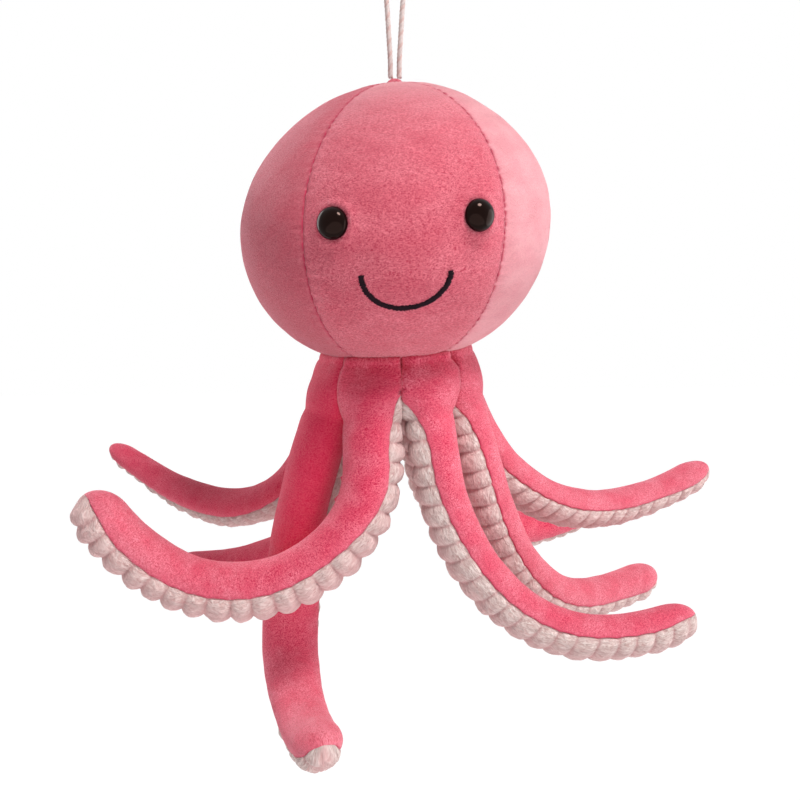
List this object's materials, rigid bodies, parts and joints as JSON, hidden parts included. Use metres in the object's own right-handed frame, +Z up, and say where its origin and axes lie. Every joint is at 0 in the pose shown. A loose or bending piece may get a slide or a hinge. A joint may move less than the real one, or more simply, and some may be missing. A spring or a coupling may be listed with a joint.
{
  "type": "plush octopus",
  "caption": "Stuffed toy octopus with a smiling round head and curling tentacles with ribbed undersides, hung from a cord loop.",
  "frame": {"origin": "inside the top of the hanging loop, where a hook or a finger carries it", "axes": "+Z up along the hanging loop, -Y the way the face looks, +X to the right as seen from the front"},
  "size_m": [0.3651, 0.2042, 0.3896],
  "materials": {
    "cord": "twisted ivory cord, matt",
    "head_velour": "short brushed pile, warm pink",
    "tentacle_velour": "short brushed pile, deep pink",
    "ribbed_plush": "ribbed plush, warm white",
    "stuffing": "polyester fibre, white",
    "eye": "polished black",
    "washer": "moulded, satin",
    "thread": "black satin stitch"
  },
  "bodies": {
    "loop": {"hanging_loop": "cord"},
    "head": {"crown_nub": "head_velour", "loop_knot": "cord", "head_front_panel": "head_velour", "head_right_panel": "head_velour", "head_back_right_panel": "head_velour", "head_back_left_panel": "head_velour", "head_left_panel": "head_velour", "head_stuffing": "stuffing", "left_eye": "eye", "right_eye": "eye", "left_eye_washer": "washer", "right_eye_washer": "washer", "smile_embroidery": "thread", "underside_patch": "ribbed_plush"},
    "front_left_tentacle": {"front_left_top_panel": "tentacle_velour", "front_left_rib_strip": "ribbed_plush", "front_left_stuffing": "stuffing"},
    "front_right_tentacle": {"front_right_top_panel": "tentacle_velour", "front_right_rib_strip": "ribbed_plush", "front_right_stuffing": "stuffing"},
    "right_front_tentacle": {"right_front_top_panel": "tentacle_velour", "right_front_rib_strip": "ribbed_plush", "right_front_stuffing": "stuffing"},
    "right_back_tentacle": {"right_back_top_panel": "tentacle_velour", "right_back_rib_strip": "ribbed_plush", "right_back_stuffing": "stuffing"},
    "back_right_tentacle": {"back_right_top_panel": "tentacle_velour", "back_right_rib_strip": "ribbed_plush", "back_right_stuffing": "stuffing"},
    "back_left_tentacle": {"back_left_top_panel": "tentacle_velour", "back_left_rib_strip": "ribbed_plush", "back_left_stuffing": "stuffing"},
    "left_back_tentacle": {"left_back_top_panel": "tentacle_velour", "left_back_rib_strip": "ribbed_plush", "left_back_stuffing": "stuffing"},
    "left_front_tentacle": {"left_front_top_panel": "tentacle_velour", "left_front_rib_strip": "ribbed_plush", "left_front_stuffing": "stuffing"}
  },
  "joints": [
    {"name": "crown_hinge", "type": "hinge", "parent": "loop", "child": "head", "pos_m": [0, 0, -0.073], "axis": [1, 0, 0], "range_deg": [-35, 35]},
    {"name": "front_left_hinge", "type": "hinge", "parent": "head", "child": "front_left_tentacle", "pos_m": [-0.01492, -0.03953, -0.20233], "axis": [-0.9239, 0.3827, 0], "range_deg": [0, 30], "stiffness_Nm_per_rad": 0.02},
    {"name": "front_right_hinge", "type": "hinge", "parent": "head", "child": "front_right_tentacle", "pos_m": [0.01492, -0.03953, -0.20069], "axis": [-0.9239, -0.3827, 0], "range_deg": [0, 30], "stiffness_Nm_per_rad": 0.02},
    {"name": "right_front_hinge", "type": "hinge", "parent": "head", "child": "right_front_tentacle", "pos_m": [0.03603, -0.01842, -0.19953], "axis": [-0.3827, -0.9239, 0], "range_deg": [0, 30], "stiffness_Nm_per_rad": 0.02},
    {"name": "right_back_hinge", "type": "hinge", "parent": "head", "child": "right_back_tentacle", "pos_m": [0.03603, 0.01142, -0.19953], "axis": [0.3827, -0.9239, 0], "range_deg": [0, 30], "stiffness_Nm_per_rad": 0.02},
    {"name": "back_right_hinge", "type": "hinge", "parent": "head", "child": "back_right_tentacle", "pos_m": [0.01492, 0.03253, -0.20069], "axis": [0.9239, -0.3827, 0], "range_deg": [0, 30], "stiffness_Nm_per_rad": 0.02},
    {"name": "back_left_hinge", "type": "hinge", "parent": "head", "child": "back_left_tentacle", "pos_m": [-0.01492, 0.03253, -0.20233], "axis": [0.9239, 0.3827, 0], "range_deg": [0, 30], "stiffness_Nm_per_rad": 0.02},
    {"name": "left_back_hinge", "type": "hinge", "parent": "head", "child": "left_back_tentacle", "pos_m": [-0.03603, 0.01142, -0.20349], "axis": [0.3827, 0.9239, 0], "range_deg": [0, 30], "stiffness_Nm_per_rad": 0.02},
    {"name": "left_front_hinge", "type": "hinge", "parent": "head", "child": "left_front_tentacle", "pos_m": [-0.03896, -0.0018, -0.20365], "axis": [0.0436, 0.999, 0], "range_deg": [0, 30], "stiffness_Nm_per_rad": 0.02}
  ]
}
